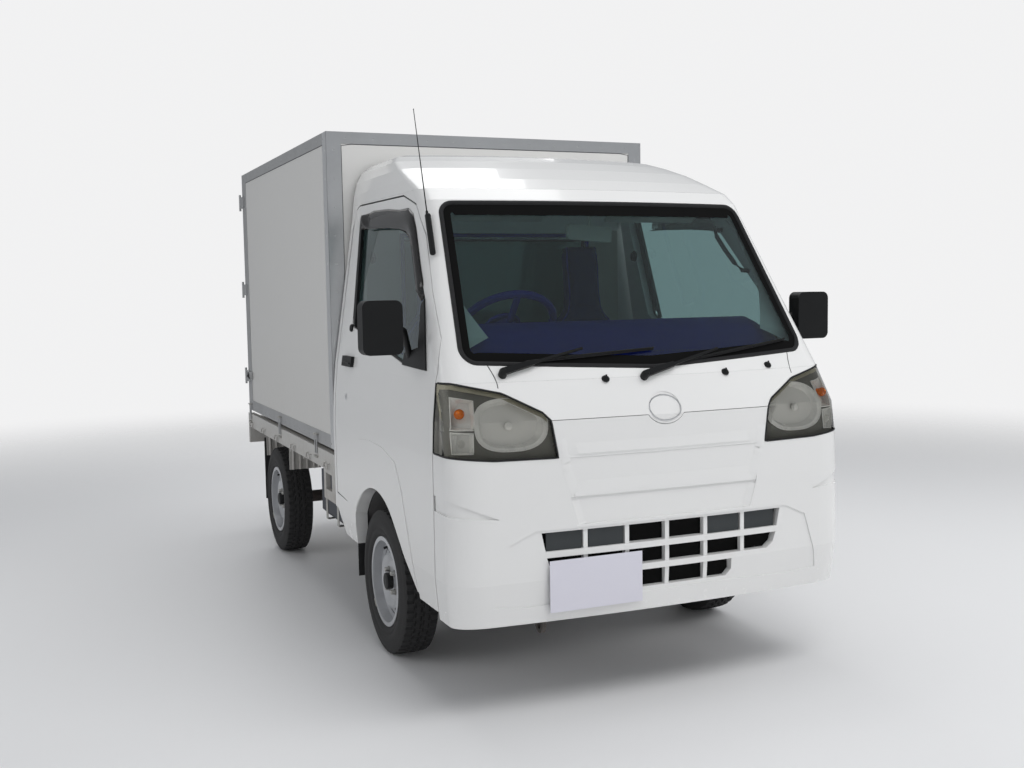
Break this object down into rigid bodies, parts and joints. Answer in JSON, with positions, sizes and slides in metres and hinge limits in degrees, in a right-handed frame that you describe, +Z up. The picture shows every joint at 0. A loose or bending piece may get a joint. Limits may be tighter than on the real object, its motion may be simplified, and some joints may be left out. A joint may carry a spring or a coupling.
{
  "type": "kei truck",
  "caption": "Small forward-control truck with a high-roof two-seat cab and a closed aluminium-trimmed box clamped on its flat bed; opening doors, steered front wheels.",
  "frame": {"origin": "on the ground under the middle of the overall length and width", "axes": "+Z up, -Y the way the truck drives, +X the vehicle's left side"},
  "size_m": [1.826, 3.395, 2],
  "materials": {
    "white_paint": "gloss",
    "white_moulding": "gloss",
    "box_panel": "satin",
    "trim_aluminium": "satin",
    "chassis_paint": "matte",
    "bed_paint": "satin, chipped",
    "cast_metal": "rough",
    "spring_steel": "matte",
    "exhaust_steel": "dull",
    "tank_paint": "satin",
    "rubber": "matte",
    "tyre": "matte",
    "wheel_steel": "satin",
    "tinted_glass": "clear",
    "smoked_plastic": "smoked",
    "black_plastic": "matte",
    "grey_plastic": "matte",
    "lamp_lens": "clear",
    "red_lens": "gloss",
    "seat_fabric": "woven",
    "floor_board": "satin",
    "cab_floor_paint": "matte",
    "plate_blank": "satin",
    "fin_metal": "matte"
  },
  "bodies": {
    "truck": {"chassis_frame": "chassis_paint", "engine_block": "cast_metal", "front_suspension": "chassis_paint", "rear_axle": "cast_metal", "leaf_springs": "spring_steel", "propshaft": "chassis_paint", "exhaust": "exhaust_steel", "fuel_tank": "tank_paint", "radiator": "fin_metal", "tow_eyes": "chassis_paint", "cab_shell": "white_paint", "cab_roof": "white_paint", "cab_floor": "cab_floor_paint", "front_panel": "white_paint", "front_bumper": "white_moulding", "cab_glass": "tinted_glass", "headlamps": "lamp_lens", "wipers": "black_plastic", "dashboard": "grey_plastic", "seats": "seat_fabric", "antenna": "black_plastic", "number_plate": "plate_blank", "bed_frame": "bed_paint", "mudflaps": "rubber", "tail_lamps": "red_lens", "box_floor": "floor_board", "box_walls": "box_panel", "box_roof": "box_panel", "box_frame": "trim_aluminium"},
    "door_right": {"door_right_panel": "white_paint", "door_right_glass": "tinted_glass", "door_right_fittings": "black_plastic", "door_right_visor": "smoked_plastic"},
    "door_left": {"door_left_panel": "white_paint", "door_left_glass": "tinted_glass", "door_left_fittings": "black_plastic", "door_left_visor": "smoked_plastic"},
    "box_door_right": {"box_door_right_panel": "box_panel", "box_door_right_gear": "trim_aluminium"},
    "box_door_left": {"box_door_left_panel": "box_panel", "box_door_left_gear": "trim_aluminium"},
    "steering": {"steering_wheel": "black_plastic"},
    "steer_right": {"knuckle_right": "cast_metal"},
    "steer_left": {"knuckle_left": "cast_metal"},
    "wheel_front_right": {"tyre_front_right": "tyre", "rim_front_right": "wheel_steel"},
    "wheel_front_left": {"tyre_front_left": "tyre", "rim_front_left": "wheel_steel"},
    "wheel_rear_right": {"tyre_rear_right": "tyre", "rim_rear_right": "wheel_steel"},
    "wheel_rear_left": {"tyre_rear_left": "tyre", "rim_rear_left": "wheel_steel"}
  },
  "joints": [
    {"name": "door_right_swing", "type": "hinge", "parent": "truck", "child": "door_right", "pos_m": [-0.7375, -1.49, 0.9], "axis": [0, 0, 1], "range_deg": [0, 65]},
    {"name": "door_left_swing", "type": "hinge", "parent": "truck", "child": "door_left", "pos_m": [0.7375, -1.49, 0.9], "axis": [0, 0, -1], "range_deg": [0, 65]},
    {"name": "box_door_right_swing", "type": "hinge", "parent": "truck", "child": "box_door_right", "pos_m": [-0.74, 1.69, 1.3], "axis": [0, 0, 1], "range_deg": [0, 250]},
    {"name": "box_door_left_swing", "type": "hinge", "parent": "truck", "child": "box_door_left", "pos_m": [0.74, 1.69, 1.3], "axis": [0, 0, -1], "range_deg": [0, 250]},
    {"name": "steer_right_turn", "type": "hinge", "parent": "truck", "child": "steer_right", "pos_m": [-0.6, -0.8395, 0.27], "axis": [0, 0, 1], "range_deg": [-33, 33]},
    {"name": "steer_left_turn", "type": "hinge", "parent": "truck", "child": "steer_left", "pos_m": [0.6, -0.8395, 0.27], "axis": [0, 0, 1], "range_deg": [-33, 33]},
    {"name": "steering_turn", "type": "hinge", "parent": "truck", "child": "steering", "pos_m": [-0.34, -1.15, 1.2], "axis": [0, 0.7071, 0.7071], "range_deg": [-495, 495]},
    {"name": "wheel_front_right_spin", "type": "hinge", "parent": "steer_right", "child": "wheel_front_right", "pos_m": [-0.65, -0.8395, 0.27], "axis": [1, 0, 0], "continuous": true},
    {"name": "wheel_front_left_spin", "type": "hinge", "parent": "steer_left", "child": "wheel_front_left", "pos_m": [0.65, -0.8395, 0.27], "axis": [1, 0, 0], "continuous": true},
    {"name": "wheel_rear_right_spin", "type": "hinge", "parent": "truck", "child": "wheel_rear_right", "pos_m": [-0.65, 1.0605, 0.27], "axis": [1, 0, 0], "continuous": true},
    {"name": "wheel_rear_left_spin", "type": "hinge", "parent": "truck", "child": "wheel_rear_left", "pos_m": [0.65, 1.0605, 0.27], "axis": [1, 0, 0], "continuous": true}
  ],
  "couplings": [
    {"joint": "steer_left_turn", "follows": "steer_right_turn", "ratio": 1},
    {"joint": "steering_turn", "follows": "steer_right_turn", "ratio": 15}
  ]
}
